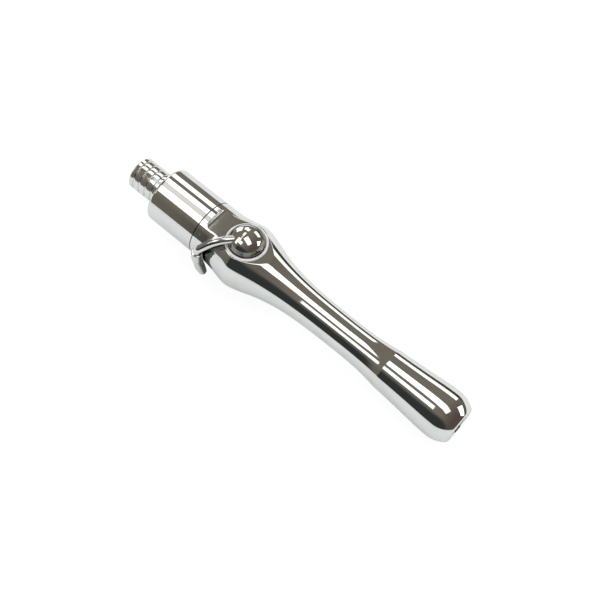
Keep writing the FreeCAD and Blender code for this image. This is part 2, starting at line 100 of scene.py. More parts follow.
def smooth_curve(points, steps, rise_in=0.0, rise_out=0.0):
    """Cubic curve through (station, radius) points, with its rise per run set at both ends."""
    place = np.array(points, float)
    count = len(place)
    run = np.linalg.norm(np.diff(place, axis=0), axis=1)
    weights = np.zeros((count, count))
    pulls = np.zeros((count, 2))
    weights[0, 0] = weights[-1, -1] = 1.0
    pulls[0] = np.array((1.0, rise_in)) / math.hypot(1.0, rise_in)
    pulls[-1] = np.array((1.0, rise_out)) / math.hypot(1.0, rise_out)
    for i in range(1, count - 1):
        before, after = run[i - 1], run[i]
        weights[i, i - 1 : i + 2] = (1 / before, 2 / before + 2 / after, 1 / after)
        pulls[i] = 3 * ((place[i] - place[i - 1]) / before**2 + (place[i + 1] - place[i]) / after**2)
    heading = np.linalg.solve(weights, pulls)
    t = np.linspace(0, 1, steps, endpoint=False)[:, None]
    spans = []
    for i in range(count - 1):
        spans.append(
            (2 * t**3 - 3 * t**2 + 1) * place[i]
            + (t**3 - 2 * t**2 + t) * run[i] * heading[i]
            + (3 * t**2 - 2 * t**3) * place[i + 1]
            + (t**3 - t**2) * run[i] * heading[i + 1]
        )
    return np.vstack(spans + [place[-1:]])


def rounded(corners, steps=5):
    """Closed outline from (station, radius, rounding) corners, each rounding drawn as an arc.

    A guard point just outside each end of the arc keeps the faces beside it flat in the shine.
    """
    outline = []
    for i, (x, r, rounding) in enumerate(corners):
        here = np.array((x, r), float)
        if not rounding:
            outline.append(tuple(here))
            continue
        back = np.array(corners[i - 1][:2], float) - here
        on = np.array(corners[(i + 1) % len(corners)][:2], float) - here
        back /= np.linalg.norm(back)
        on /= np.linalg.norm(on)
        half = math.acos(np.clip(back @ on, -1, 1)) / 2
        reach = rounding / math.tan(half)
        guard = reach + 0.2 * rounding
        middle = here + (back + on) / np.linalg.norm(back + on) * rounding / math.sin(half)
        start = here + back * reach - middle
        end = here + on * reach - middle
        outline.append(tuple(here + back * guard))
        for step in range(steps + 1):
            towards = start * (1 - step / steps) + end * (step / steps)
            outline.append(tuple(middle + towards / np.linalg.norm(towards) * rounding))
        outline.append(tuple(here + on * guard))
    return outline


def finished(name, mesh, body, slot, *nodes):
    """Makes a shaded piece of a mesh, rides it on its body and lets it stand for its CAD nodes."""
    for polygon in mesh.polygons:
        polygon.use_smooth = True
    mesh.set_sharp_from_angle(angle=math.radians(28))
    piece = bpy.data.objects.new(name, mesh)
    bpy.context.scene.collection.objects.link(piece)
    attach(piece, body)
    if nodes:
        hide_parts(*nodes)
    return piece


def mesh_of(name, points, faces):
    """Mesh from millimetre points, with doubled points joined and its faces turned outwards."""
    mesh = bpy.data.meshes.new(name)
    mesh.from_pydata([tuple(p) for p in np.array(points) * mm], [], faces)
    work = bmesh.new()
    work.from_mesh(mesh)
    bmesh.ops.remove_doubles(work, verts=work.verts, dist=1e-8)
    bmesh.ops.recalc_face_normals(work, faces=work.faces)
    work.to_mesh(mesh)
    work.free()
    mesh.validate()
    return mesh


def ring_faces(rows, columns, closed=True):
    """Quads between rows of points that each go once round."""
    faces = []
    for i in range(rows if closed else rows - 1):
        low, high = i * columns, ((i + 1) % rows) * columns
        for j in range(columns):
            k = (j + 1) % columns
            faces.append((low + j, low + k, high + k, high + j))
    return faces


def turned_x(name, outline, sides=224):
    """Mesh turned about the grip's axis, from (station, radius) corners."""
    turn = np.linspace(0, 2 * math.pi, sides, endpoint=False)
    points = [(x, r * math.sin(a), r * math.cos(a)) for x, r in outline for a in turn]
    return mesh_of(name, points, ring_faces(len(outline), sides))


def turned_z(name, outline, sides=192):
    """Mesh turned about the valve axis, from (radius, level) corners."""
    turn = np.linspace(0, 2 * math.pi, sides, endpoint=False)
    points = [(valve_x + r * math.cos(a), r * math.sin(a), z) for r, z in outline for a in turn]
    return mesh_of(name, points, ring_faces(len(outline), sides))


def cut(mesh, *tools):
    """The mesh with other closed meshes taken out of it."""
    blank = bpy.data.objects.new("blank", mesh)
    bpy.context.scene.collection.objects.link(blank)
    for tool in tools:
        cutter = bpy.data.objects.new("cutter", tool)
        bpy.context.scene.collection.objects.link(cutter)
        modifier = blank.modifiers.new("cut", "BOOLEAN")
        modifier.object = cutter
        modifier.operation = "DIFFERENCE"
        modifier.solver = "EXACT"
        shown = blank.evaluated_get(bpy.context.evaluated_depsgraph_get())
        made = bpy.data.meshes.new_from_object(shown)
        blank.modifiers.clear()
        blank.data = made
        bpy.data.objects.remove(cutter)
    made = blank.data
    bpy.data.objects.remove(blank)
    return made


def flat_height(x):
    """Level of the milled flat at a station, rising with the cutter's radius at its rear end."""
    past_rear = np.clip(flat_rear_x - x, 0, cutter_radius)
    return flat_z + cutter_radius - math.sqrt(cutter_radius**2 - past_rear**2)


def skin_row(x, radius, milled):
    """One ring of the body's points, drawn close together where the flat's soft edge runs."""
    height = flat_height(x) if milled else radius + 1
    # Angle from the top to the flat's edge, and half of the turn that its soft blend takes.
    edge = max(math.acos(min(height / radius, 1.0)), 0.06)
    half = min(1.7 * edge_blend / (radius * math.tan(edge)), 0.4 * edge)
    near = np.concatenate([
        np.linspace(0, edge - half, 11, endpoint=False),
        np.linspace(edge - half, edge + half, 10, endpoint=False),
        np.linspace(edge + half, math.pi, 75),
    ])
    # Beyond the flat's front end the points go over to even spacing.
    share = np.clip((x - flat_front_x) / 16, 0, 1) if milled or radius > passage_radius else 1.0
    share = share * share * (3 - 2 * share)
    turn = (1 - share) * near + share * np.linspace(0, math.pi, len(near))
    plane = height / np.maximum(np.cos(turn), 0.2)
    if milled:
        soft = np.maximum(edge_blend - np.abs(radius - plane), 0) ** 2 / (4 * edge_blend)
        reach = np.minimum(radius, plane) - soft
    else:
        reach = np.full(len(turn), float(radius))
    half_ring = [(x, r * math.sin(a), r * math.cos(a)) for r, a in zip(reach, turn)]
    return half_ring + [(x, -y, z) for x, y, z in half_ring[-2:0:-1]]


handle = smooth_curve(handle_points, 300, rise_out=collar_flare)
bulb = smooth_curve(bulb_points, 300, rise_in=collar_ease)
grip = np.vstack([handle, bulb])
ring_runs = [
    # from, to, step between the rings of points, closest where the shine turns quickest
    (seam_x + seam_round + 0.02, -113.5, 0.06),
    (-113.5, -113.1, 0.02),
    (-113.1, flat_rear_x + 0.2, 0.08),
    (flat_rear_x + 0.2, -86.4, 0.35),
    (-86.4, -84.4, 0.06),
    (-84.4, -60.0, 0.5),
    (-60.0, -34.0, 0.65),
    (-34.0, crease_x - 0.25, 0.15),
    (crease_x - 0.25, crease_x + 0.3, 0.0625),
    (crease_x + 0.4, crest_x - 0.2, 0.5),
]
skin = []
for x in np.concatenate([np.arange(start, end, step) for start, end, step in ring_runs]):
    # The crease is buffed round: close to it the radius is a mean over 0.2 mm to each side.
    spread = x + np.linspace(-0.2, 0.2, 9) if abs(x - crease_x) < 0.3 else np.array([x])
    skin.append((x, np.interp(spread, grip[:, 0], grip[:, 1], left=barrel_radius).mean(), True))
# The nose falls in one long arc and turns over a short one into the mouth.
nose_radius, rim_radius = np.linalg.solve(
    [[math.sin(nose_sweep), 1 - math.sin(nose_sweep)], [1 - math.cos(nose_sweep), math.cos(nose_sweep)]],
    [nose_length, nose_drop],
)
for swing in np.linspace(0, nose_sweep, 30, endpoint=False):
    skin.append((
        mouth_x - nose_length + nose_radius * math.sin(swing),
        mouth_rim_radius + nose_drop - nose_radius * (1 - math.cos(swing)),
        False,
    ))
for swing in np.linspace(nose_sweep, math.pi / 2, 20):
    skin.append((
        mouth_x - rim_radius * (1 - math.sin(swing)),
        mouth_rim_radius + rim_radius * math.cos(swing),
        False,
    ))
lead = socket_radius + socket_lead
bore = [(mouth_x, lead, 0.05), (0.0, socket_radius, 0.05)]
for middle in tip_seal_stations:
    bore += [
        (middle + seal_groove_half, socket_radius, 0.06),
        (middle + seal_groove_half, seal_groove_floor, 0.06),
        (middle - seal_groove_half, seal_groove_floor, 0.06),
        (middle - seal_groove_half, socket_radius, 0.06),
    ]
# The passage gets a ring every 6 mm, so that no face in it is long and thin.
bore += [(-socket_depth, socket_radius, 0), (-socket_depth, passage_radius, 0.1)]
bore += [(x, passage_radius, 0) for x in np.arange(-26.0, spigot_end_x + 4, -6.0)]
bore += [
    (spigot_end_x, passage_radius, 0.1),
    (spigot_end_x, spigot_radius, 0.15),
    (joint_groove_x - joint_groove_half, spigot_radius, 0),
    (joint_groove_x - joint_groove_half, joint_groove_floor, 0),
    (joint_groove_x + joint_groove_half, joint_groove_floor, 0),
    (joint_groove_x + joint_groove_half, spigot_radius, 0),
    (seam_x, spigot_radius, 0),
    (seam_x, barrel_radius - seam_round, 0.02),
]
# The first and the last corner here only aim the roundings beside them.
inner_corners = [(mouth_x, 7.0, 0)] + bore + [(seam_x + 1, barrel_radius, 0)]
inside = [(x, r, False) for x, r in rounded(inner_corners)[1:-1]]
rows = [skin_row(x, r, milled) for x, r, milled in skin + inside]
columns = len(rows[0])
blank = mesh_of("body_blank", [p for row in rows for p in row], ring_faces(len(rows), columns))
pocket_chamfer = 0.08
chamfer_top = flat_z + 0.02
clear_of_body = 20.0
seat_cutter = turned_z("seat_cutter", [
    (0, clear_of_body),
    (ring_pocket_radius + pocket_chamfer, clear_of_body),
    (ring_pocket_radius + pocket_chamfer, chamfer_top),
    (ring_pocket_radius, chamfer_top - pocket_chamfer),
    (ring_pocket_radius, seat_z),
    (plug_bore_radius, seat_z),
    (plug_bore_radius, plug_floor_z),
    (stub_bore_radius, plug_floor_z),
    (stub_bore_radius, floor_under_z),
    (counterbore_radius, floor_under_z),
    (counterbore_radius, -clear_of_body),
    (0, -clear_of_body),
])
main_body = finished("body_shell", cut(blank, seat_cutter), "body", "polished_chrome", "main_body")

# Buffed finish, shared by all chromed and steel pieces: soft haze patches where it was handled,
# hair lines left by the mop along its run, and the slight ripple of a hand-buffed face.


def new_group(name, inputs, outputs):
    """Shader node group with named float or vector inputs and outputs."""
    group = bpy.data.node_groups.new(name, "ShaderNodeTree")
    for label, kind, value in inputs:
        socket = group.interface.new_socket(label, in_out="INPUT", socket_type=kind)
        if value is not None:
            socket.default_value = value
    for label, kind in outputs:
        group.interface.new_socket(label, in_out="OUTPUT", socket_type=kind)
    return group, group.nodes.new("NodeGroupInput"), group.nodes.new("NodeGroupOutput")


def filled(tree, node, **inputs):
    """Sets or links a node's inputs, each named by its socket's number or label."""
    for key, value in inputs.items():
        socket = node.inputs[int(key[1:])] if key[1:].isdigit() else node.inputs[key.replace("_", " ")]
        if isinstance(value, bpy.types.NodeSocket):
            tree.links.new(value, socket)
        else:
            socket.default_value = value
    return node


def joined(tree, kind, operation=None, **inputs):
    node = tree.nodes.new(kind)
    if operation:
        node.operation = operation
    return filled(tree, node, **inputs)


def ramped(tree, value, start, end, low=0.0, high=1.0, soft=False):
    """Value taken from one range to another, and eased in and out of it where soft is asked."""
    node = joined(
        tree, "ShaderNodeMapRange",
        Value=value, From_Min=start, From_Max=end, To_Min=low, To_Max=high,
    )
    if soft:
        node.interpolation_type = "SMOOTHSTEP"
    return node.outputs[0]


def mixed(tree, factor, first, second):
    """Colour between two others, each of them a socket or a fixed colour."""
    node = tree.nodes.new("ShaderNodeMix")
    node.data_type = "RGBA"
    return filled(tree, node, Factor=factor, A=first, B=second).outputs["Result"]


buffed, taken, given = new_group(
    "buffed finish",
    [
        ("Place", "NodeSocketVector", None),
        ("Hair line stretch", "NodeSocketVector", None),
        ("Base roughness", "NodeSocketFloat", 0.04),
        ("Haze", "NodeSocketFloat", 0.02),
        ("Hair lines", "NodeSocketFloat", 0.03),
        ("Bright", "NodeSocketColor", (0.86, 0.865, 0.86, 1)),
        ("Dull", "NodeSocketColor", (0.78, 0.78, 0.765, 1)),
    ],
    [("Colour", "NodeSocketColor"), ("Roughness", "NodeSocketFloat"), ("Height", "NodeSocketFloat")],
)
patches = joined(buffed, "ShaderNodeTexNoise", Vector=taken.outputs["Place"], Scale=150.0, Detail=3.0)
stretched = joined(
    buffed, "ShaderNodeVectorMath", "MULTIPLY",
    _0=taken.outputs["Place"], _1=taken.outputs["Hair line stretch"],
)
hairs = joined(buffed, "ShaderNodeTexNoise", Vector=stretched.outputs[0], Scale=1.0, Detail=2.0)
hair_mask = ramped(buffed, hairs.outputs["Fac"], 0.5, 0.8)
patch_mask = ramped(buffed, patches.outputs["Fac"], 0.45, 0.75)
haze = joined(
    buffed, "ShaderNodeMath", "MULTIPLY_ADD",
    _0=patch_mask, _1=taken.outputs["Haze"], _2=taken.outputs["Base roughness"],
)
hairy_roughness = joined(
    buffed, "ShaderNodeMath", "MULTIPLY_ADD",
    _0=hair_mask, _1=taken.outputs["Hair lines"], _2=haze.outputs[0],
)
ripple = joined(buffed, "ShaderNodeTexNoise", Vector=taken.outputs["Place"], Scale=260.0, Detail=1.0)
relief = joined(
    buffed, "ShaderNodeMath", "MULTIPLY_ADD",
    _0=hairs.outputs["Fac"], _1=0.06, _2=ripple.outputs["Fac"],
)
tint = mixed(buffed, patch_mask, taken.outputs["Bright"], taken.outputs["Dull"])
filled(buffed, given, Colour=tint, Roughness=hairy_roughness.outputs[0], Height=relief.outputs[0])


def surface(name, shared, bump_depth, **settings):
    """Material that takes its colour, roughness and fine relief from a shared finish."""
    material = bpy.data.materials.new(name)
    material.use_nodes = True
    tree = material.node_tree
    place = tree.nodes.new("ShaderNodeTexCoord").outputs["Object"]
    finish = tree.nodes.new("ShaderNodeGroup")
    finish.node_tree = shared
    filled(tree, finish, Place=place, **settings)
    bump = joined(tree, "ShaderNodeBump", Distance=bump_depth, Height=finish.outputs["Height"])
    filled(
        tree, tree.nodes["Principled BSDF"],
        Base_Color=finish.outputs["Colour"], Roughness=finish.outputs["Roughness"], Normal=bump.outputs[0],
    )
    return material


def metal(name, stretch, roughness, haze, hair, bright, dull, ripple_depth):
    """Metal finish: stretch squeezes the hair lines across their run and draws them out along it."""
    material = surface(
        name, buffed, ripple_depth,
        Hair_line_stretch=stretch, Base_roughness=roughness, Haze=haze, Hair_lines=hair,
        Bright=(*bright, 1), Dull=(*dull, 1),
    )
    material.node_tree.nodes["Principled BSDF"].inputs["Metallic"].default_value = 1.0
    return material


def finish_with(material, *pieces):
    for piece in pieces:
        piece.data.materials.clear()
        piece.data.materials.append(material)


chrome_bright = (0.87, 0.875, 0.865)
chrome_dull = (0.82, 0.82, 0.80)
turned_chrome = metal(
    "turned chrome", (9000, 250, 250), 0.035, 0.02, 0.02, chrome_bright, chrome_dull, 1.6e-6,
)
finish_with(turned_chrome, main_body)

# Stop pin, plug and the stack under it. The bronze-grey steel plug turns in the body's bore; a
# spring washer and a slotted screw in the counterbore below hold it down, and a pin stops its turn.
turned_steel = metal(
    "turned steel", (300, 300, 14000), 0.2, 0.06, 0.12, (0.56, 0.55, 0.53), (0.46, 0.45, 0.43), 2e-6,
)
spring_steel = metal(
    "spring steel", (2500, 2500, 2500), 0.26, 0.1, 0.1, (0.42, 0.41, 0.4), (0.3, 0.29, 0.28), 3e-6,
)
finish_with(turned_steel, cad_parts["valve_plug"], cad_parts["stop_pin"])
finish_with(turned_steel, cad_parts["plug_retaining_washer"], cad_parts["plug_retaining_screw"])
finish_with(spring_steel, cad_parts["plug_spring_washer"])

# Bearing washers. Three thin rings cut from white acetal sheet: one under the plug and one on each
# side of the tail's flange, so that metal never rubs on metal.
moulded, taken, given = new_group(
    "moulded grain",
    [
        ("Place", "NodeSocketVector", None),
        ("Grain scale", "NodeSocketFloat", 3000.0),
        ("Light", "NodeSocketColor", (0.5, 0.5, 0.5, 1)),
        ("Dark", "NodeSocketColor", (0.4, 0.4, 0.4, 1)),
        ("Base roughness", "NodeSocketFloat", 0.4),
        ("Roughness spread", "NodeSocketFloat", 0.15),
    ],
    [("Colour", "NodeSocketColor"), ("Roughness", "NodeSocketFloat"), ("Height", "NodeSocketFloat")],
)
grain = joined(
    moulded, "ShaderNodeTexNoise",
    Vector=taken.outputs["Place"], Scale=taken.outputs["Grain scale"], Detail=3.0,
)
bloom = joined(moulded, "ShaderNodeTexNoise", Vector=taken.outputs["Place"], Scale=350.0, Detail=2.0)
shade = mixed(moulded, bloom.outputs["Fac"], taken.outputs["Light"], taken.outputs["Dark"])
worn = joined(
    moulded, "ShaderNodeMath", "MULTIPLY_ADD",
    _0=grain.outputs["Fac"], _1=taken.outputs["Roughness spread"], _2=taken.outputs["Base roughness"],
)
filled(moulded, given, Colour=shade, Roughness=worn.outputs[0], Height=grain.outputs["Fac"])


def plain_stuff(name, light, dark, roughness, spread, grain_scale, grain_depth):
    """Plastic or rubber with a moulded grain and a faint bloom."""
    return surface(
        name, moulded, grain_depth,
        Grain_scale=grain_scale, Light=(*light, 1), Dark=(*dark, 1),
        Base_roughness=roughness, Roughness_spread=spread,
    )


white_acetal = plain_stuff("white acetal", (0.8, 0.79, 0.75), (0.72, 0.7, 0.65), 0.35, 0.15, 4000, 4e-6)
for node in ("plug_thrust_washer", "swivel_front_washer", "swivel_rear_washer"):
    finish_with(white_acetal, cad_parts[node])

# Seals. Black nitrile rings: two on the plug, one on the body's spigot and two on the tail's neck
# are hidden; the two in the tip socket show in the mouth and are drawn here as full round rings.
nitrile = plain_stuff("black nitrile", (0.03, 0.03, 0.031), (0.016, 0.016, 0.017), 0.42, 0.25, 5000, 8e-6)
tip_seal_radius = 0.72
tip_seal_middle = 6.27
for node, x in zip(("tip_front_seal", "tip_rear_seal"), tip_seal_stations):
    section = [
        (x + tip_seal_radius * math.sin(a), tip_seal_middle + tip_seal_radius * math.cos(a))
        for a in np.linspace(0, 2 * math.pi, 28, endpoint=False)
    ]
    ring = finished(node + "_ring", turned_x(node, section, 128), "body", "seal_rubber", node)
    finish_with(nitrile, ring)
for node in ("upper_plug_seal", "lower_plug_seal", "barrel_joint_seal"):
    finish_with(nitrile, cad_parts[node])
for node in ("swivel_front_seal", "swivel_rear_seal"):
    finish_with(nitrile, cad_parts[node])

# Rear barrel. A plain chromed sleeve screwed on to the body's spigot, up to the fine seam line;
# its inner shoulder holds the tail, and its rear rim is rolled over by a form tool.
barrel_rear_x = -136.0
barrel_socket_radius = 8.8
barrel_shoulder_x = -126.66
bearing_radius = 7.05
barrel = finished(
    "barrel_sleeve",
    turned_x("barrel", rounded([
        (barrel_rear_x, bearing_radius, 0.2),
        (barrel_shoulder_x, bearing_radius, 0.1),
        (barrel_shoulder_x, barrel_socket_radius, 0),
        (seam_x - seam_gap, barrel_socket_radius, 0.1),
        (seam_x - seam_gap, barrel_radius, seam_round),
        *[(seam_x - back, barrel_radius, 0) for back in (4.0, 8.0, 12.0, 16.0)],
        (barrel_rear_x, barrel_radius, 1.2),
    ], 10)),
    "body", "polished_chrome", "rear_barrel",
)
finish_with(turned_chrome, barrel)

# Hose tail. The chromed tailpiece swivels in the barrel on its flange; four ridges with narrow
# grooves between them grip the suction hose, and its end is broken so that the hose slides on.
flange_front_x = -123.43
flange_rear_x = -125.83
flange_radius = 8.75
neck_radius = 7.0
barb_radius = 6.35
barb_pitch = 2.9
barb_count = 4
tail_tip_x = -150.1
tail_bore_radius = 4.4
groove_width = 0.9
groove_depth = 0.55
groove_wall = 0.2
tip_chamfer = 0.6
neck_groove_floor = 6.04
neck_groove_half = 0.65
tail_outline = [
    (flange_front_x, tail_bore_radius, 0.2),
    (flange_front_x, flange_radius, 0.15),
    (flange_rear_x, flange_radius, 0.15),
    (flange_rear_x, neck_radius, 0),
]
for middle in (-128.86, -133.26):
    tail_outline += [
        (middle + neck_groove_half, neck_radius, 0),
        (middle + neck_groove_half, neck_groove_floor, 0),
        (middle - neck_groove_half, neck_groove_floor, 0),
        (middle - neck_groove_half, neck_radius, 0),
    ]
tail_outline += [(barrel_rear_x, neck_radius, 0.1), (barrel_rear_x, barb_radius, 0)]
for index in reversed(range(barb_count)):
    end = tail_tip_x + (index + 1) * barb_pitch
    tail_outline += [
        (end, barb_radius, 0.07),
        (end - groove_wall, barb_radius - groove_depth, 0.1),
        (end - groove_width + groove_wall, barb_radius - groove_depth, 0.1),
        (end - groove_width, barb_radius, 0.07),
    ]
tail_outline += [
    (tail_tip_x + tip_chamfer, barb_radius, 0.25),
    (tail_tip_x, barb_radius - tip_chamfer, 0.15),
    (tail_tip_x, tail_bore_radius, 0.2),
]
tail = finished(
    "tail_barb", turned_x("tail", rounded(tail_outline, 6)), "tail", "polished_chrome", "hose_tail",
)
finish_with(turned_chrome, tail)

# Seat ring. A chromed ring pressed into the flat round the ball, turned to a half-round bead that
# stands proud of the flat as the bright rim round the ball. Its brightness is a painted sheen: a
# near-white colour, mostly not metal, that stands in for the chrome's reflection all round.
ball_radius = 6.604
ball_z = flat_z + 0.5
head_gap = 0.15
ring_inner = ball_radius + head_gap
ring_radius = 7.804
bead_radius = (ring_radius - ring_inner) / 2
domed_chrome = metal(
    "domed chrome", (2200, 2200, 7000), 0.035, 0.02, 0.015, chrome_bright, chrome_dull, 1.2e-6,
)
ring_outline = [(ring_inner, seat_z), (ring_radius, seat_z)]
for swing in np.linspace(0, math.pi, 26):
    ring_outline.append((
        ring_inner + bead_radius + bead_radius * math.cos(swing),
        flat_z + bead_radius * math.sin(swing),
    ))
seat_ring = finished(
    "ball_seat_rim", turned_z("seat_rim", ring_outline), "body", "polished_chrome", "seat_ring",
)
# Painted sheen: the ring's colour is near white and only one fifth metal, so it shows bright all round in
# place of the chrome's reflection.
rim_with_painted_sheen = metal(
    "rim with painted sheen", (2200, 2200, 7000), 0.2, 0.05, 0.03, (0.97, 0.975, 0.97), (0.93, 0.935, 0.93), 1.2e-6,
)
rim_with_painted_sheen.node_tree.nodes["Principled BSDF"].inputs["Metallic"].default_value = 0.2
finish_with(rim_with_painted_sheen, seat_ring)

# Ball head. A chromed, flattened ball on a stem that turns the plug and is drawn without its two
# hidden flats; the lever's wire goes into a hole drilled in the ball's side. Low down on the ball a
# dark band of painted shade and painted reflection, with soft upright streaks, stands in for the
# dark that the chrome would mirror there; it reaches higher on the side turned away from the lever.
plug_top_z = seat_z - 0.03
stem_end_z = 5.3
stem_radius = 2.45
lever_angle = math.radians(229.0)
wire_radius = 1.45
wire_level = ball_z + 2.4
wire_seat = 3.0
ball_rise = 5.2
ball_side_radius = 4.5
side_reach = ball_radius - ball_side_radius
dome_radius = (side_reach**2 + ball_rise**2 - ball_side_radius**2) / 2 / (ball_rise - ball_side_radius)
join = math.atan2(side_reach, dome_radius - ball_rise)
ball_outline = [
    (0, stem_end_z),
    (stem_radius, stem_end_z),
    (stem_radius, plug_top_z),
    (ball_radius, plug_top_z),
]
for lean in np.linspace(math.pi / 2, join, 60):
    ball_outline.append((
        side_reach + ball_side_radius * math.sin(lean),
        ball_z + ball_side_radius * math.cos(lean),
    ))
for lean in np.linspace(join, 0, 50)[1:]:
    ball_outline.append((
        dome_radius * math.sin(lean),
        ball_z + ball_rise - dome_radius * (1 - math.cos(lean)),
    ))


def lever_frame(out, across, level):
    """Place in the lever's own plane: out from the valve axis, across the plane, and level."""
    x = valve_x + out * math.cos(lever_angle) - across * math.sin(lever_angle)
    y = out * math.sin(lever_angle) + across * math.cos(lever_angle)
    return x, y, level


hole = []
hole_radius = wire_radius + 0.03
past_ball = 9.0
hole_sides = 64
hole_outline = [(wire_seat, 0.0), (wire_seat, hole_radius), (past_ball, hole_radius), (past_ball, 0.0)]
for out, r in hole_outline:
    for a in np.linspace(0, 2 * math.pi, hole_sides, endpoint=False):
        hole.append(lever_frame(out, r * math.sin(a), wire_level + r * math.cos(a)))
hole_cutter = mesh_of("wire_hole", hole, ring_faces(len(hole_outline), hole_sides))
ball = finished(
    "ball_knob", cut(turned_z("ball", ball_outline), hole_cutter), "rotor", "polished_chrome", "ball_head",
)


def tinted(material, factor, tone):
    """Lets a tone show in a material's own colour where the factor is low."""
    tree = material.node_tree
    base = tree.nodes["Principled BSDF"].inputs["Base Color"]
    tree.links.new(mixed(tree, factor, tone, base.links[0].from_socket), base)


shaded_dome_chrome = metal(
    "dome chrome with painted shade", (2200, 2200, 7000), 0.035, 0.02, 0.015, chrome_bright, chrome_dull, 1.2e-6,
)
tree = shaded_dome_chrome.node_tree
place = tree.nodes["Texture Coordinate"].outputs["Object"]
# Painted shade and painted reflection: below a level that tilts up towards the side at this bearing, the
# dome's colour is turned dark and streaked.
painted_shade_side = math.radians(122.0)
painted_shade_slope = 0.15
painted_shade_top = flat_z + 3.7 - painted_shade_slope * valve_x * math.cos(painted_shade_side)
painted_shade_level = joined(
    tree, "ShaderNodeVectorMath", "DOT_PRODUCT",
    _0=place, _1=(-painted_shade_slope * math.cos(painted_shade_side), -painted_shade_slope * math.sin(painted_shade_side), 1.0),
)
unshaded = ramped(
    tree, painted_shade_level.outputs["Value"], (painted_shade_top - 0.25) * mm, (painted_shade_top + 0.15) * mm, soft=True,
)
painted_shade_place = joined(tree, "ShaderNodeVectorMath", "MULTIPLY", _0=place, _1=(420, 420, 40))
painted_shade_streaks = joined(tree, "ShaderNodeTexNoise", Vector=painted_shade_place.outputs[0], Scale=1.0, Detail=1.0)
painted_shade_tones = tree.nodes.new("ShaderNodeValToRGB")
tree.links.new(painted_shade_streaks.outputs["Fac"], painted_shade_tones.inputs["Fac"])
painted_shade_tones.color_ramp.elements[0].position = 0.4
painted_shade_tones.color_ramp.elements[0].color = (0.07, 0.075, 0.07, 1)
painted_shade_tones.color_ramp.elements[1].position = 0.62
painted_shade_tones.color_ramp.elements[1].color = (0.3, 0.28, 0.25, 1)
# The dark painted shade goes into the dome's colour here.
tinted(shaded_dome_chrome, unshaded, painted_shade_tones.outputs["Color"])
finish_with(shaded_dome_chrome, ball)

# Lever wire. Round chromed rod, brazed into the ball, that arches out over the body's side and
# bends down into the thumb tab's collar. Its underside and the side turned in towards the valve
# get painted shade: a dark colour that stands in for the dark they would mirror.
first_bend = 11.0
second_bend = 3.0
slope = math.radians(37.0)
straight_out = 7.0
knuckle_out = 17.7
bends_out = (first_bend - second_bend) * math.sin(slope) + second_bend
slope_run = (knuckle_out - straight_out - bends_out) / math.cos(slope)
middle_line = [(wire_seat + 0.1, wire_level, 0.0), (straight_out, wire_level, 0.0)]
for turn in np.linspace(0, slope, 22)[1:]:
    middle_line.append((
        straight_out + first_bend * math.sin(turn),
        wire_level - first_bend * (1 - math.cos(turn)),
        turn,
    ))
bend_out = middle_line[-1][0] + slope_run * math.cos(slope)
bend_level = middle_line[-1][1] - slope_run * math.sin(slope)
middle_line.append((bend_out, bend_level, slope))
for turn in np.linspace(slope, math.pi / 2, 22)[1:]:
    middle_line.append((
        bend_out + second_bend * (math.sin(turn) - math.sin(slope)),
        bend_level - second_bend * (math.cos(slope) - math.cos(turn)),
        turn,
    ))
knuckle_level = middle_line[-1][1]
wire_in_tab = 2.4
middle_line.append((knuckle_out, knuckle_level - wire_in_tab, math.pi / 2))
wire_points = []
rod_sides = 72
around = np.linspace(0, 2 * math.pi, rod_sides, endpoint=False)
for out, level, turn in middle_line:
    for a in around:
        wire_points.append(lever_frame(
            out + wire_radius * math.cos(a) * math.sin(turn),
            wire_radius * math.sin(a),
            level + wire_radius * math.cos(a) * math.cos(turn),
        ))


def rod_faces(rows, columns):
    """Faces along rows of points that each go once round, with a cap on each end."""
    first_cap = tuple(range(columns))[::-1]
    last_cap = tuple(range((rows - 1) * columns, rows * columns))
    return ring_faces(rows, columns, closed=False) + [first_cap, last_cap]


rod = mesh_of("rod", wire_points, rod_faces(len(middle_line), rod_sides))
wire = finished("lever_rod", rod, "rotor", "polished_chrome", "lever_wire")
shaded_lever_chrome = domed_chrome.copy()
shaded_lever_chrome.name = "lever chrome with painted shade"
tree = shaded_lever_chrome.node_tree
# Painted shade: where a face turns in towards the valve and down, the colour goes dark.
in_and_down = Vector((-math.cos(lever_angle), -math.sin(lever_angle), -1.0)).normalized()
turned_in = joined(
    tree, "ShaderNodeVectorMath", "DOT_PRODUCT",
    _0=tree.nodes["Texture Coordinate"].outputs["Normal"], _1=in_and_down,
)
unshaded_side = ramped(tree, turned_in.outputs["Value"], 0.0, 0.24, 1.0, 0.0)
tinted(shaded_lever_chrome, unshaded_side, (0.12, 0.125, 0.11, 1))
finish_with(shaded_lever_chrome, wire)

# Thumb tab. Chromed leaf on the lever's low end, cast with the collar that the wire is brazed
# into and swept in below it, so that a thumb can push it round without looking.
sweep_radius = 50.0
tab_length = 15.5
collar = 4.2
collar_round = 0.35
tab_dome = 2.2
dome_start = tab_length - tab_dome
tab_stations = np.array([0.0, 3.15, 6.5, 10.0, dome_start])
tab_widths = np.array([collar, collar, 3.6, 3.3, 3.0])
tab_thicknesses = np.array([collar, collar, 3.5, 3.7, 3.1])


def eased(at, places, values):
    """Value between listed ones that arrives at each of them without a kink."""
    i = int(np.clip(np.searchsorted(places, at) - 1, 0, len(places) - 2))
    rise = np.gradient(values, places)
    rise[0] = rise[1] = 0.0
    span = places[i + 1] - places[i]
    t = (at - places[i]) / span
    return (
        (2 * t**3 - 3 * t**2 + 1) * values[i]
        + (t**3 - 2 * t**2 + t) * span * rise[i]
        + (3 * t**2 - 2 * t**3) * values[i + 1]
        + (t**3 - t**2) * span * rise[i + 1]
    )


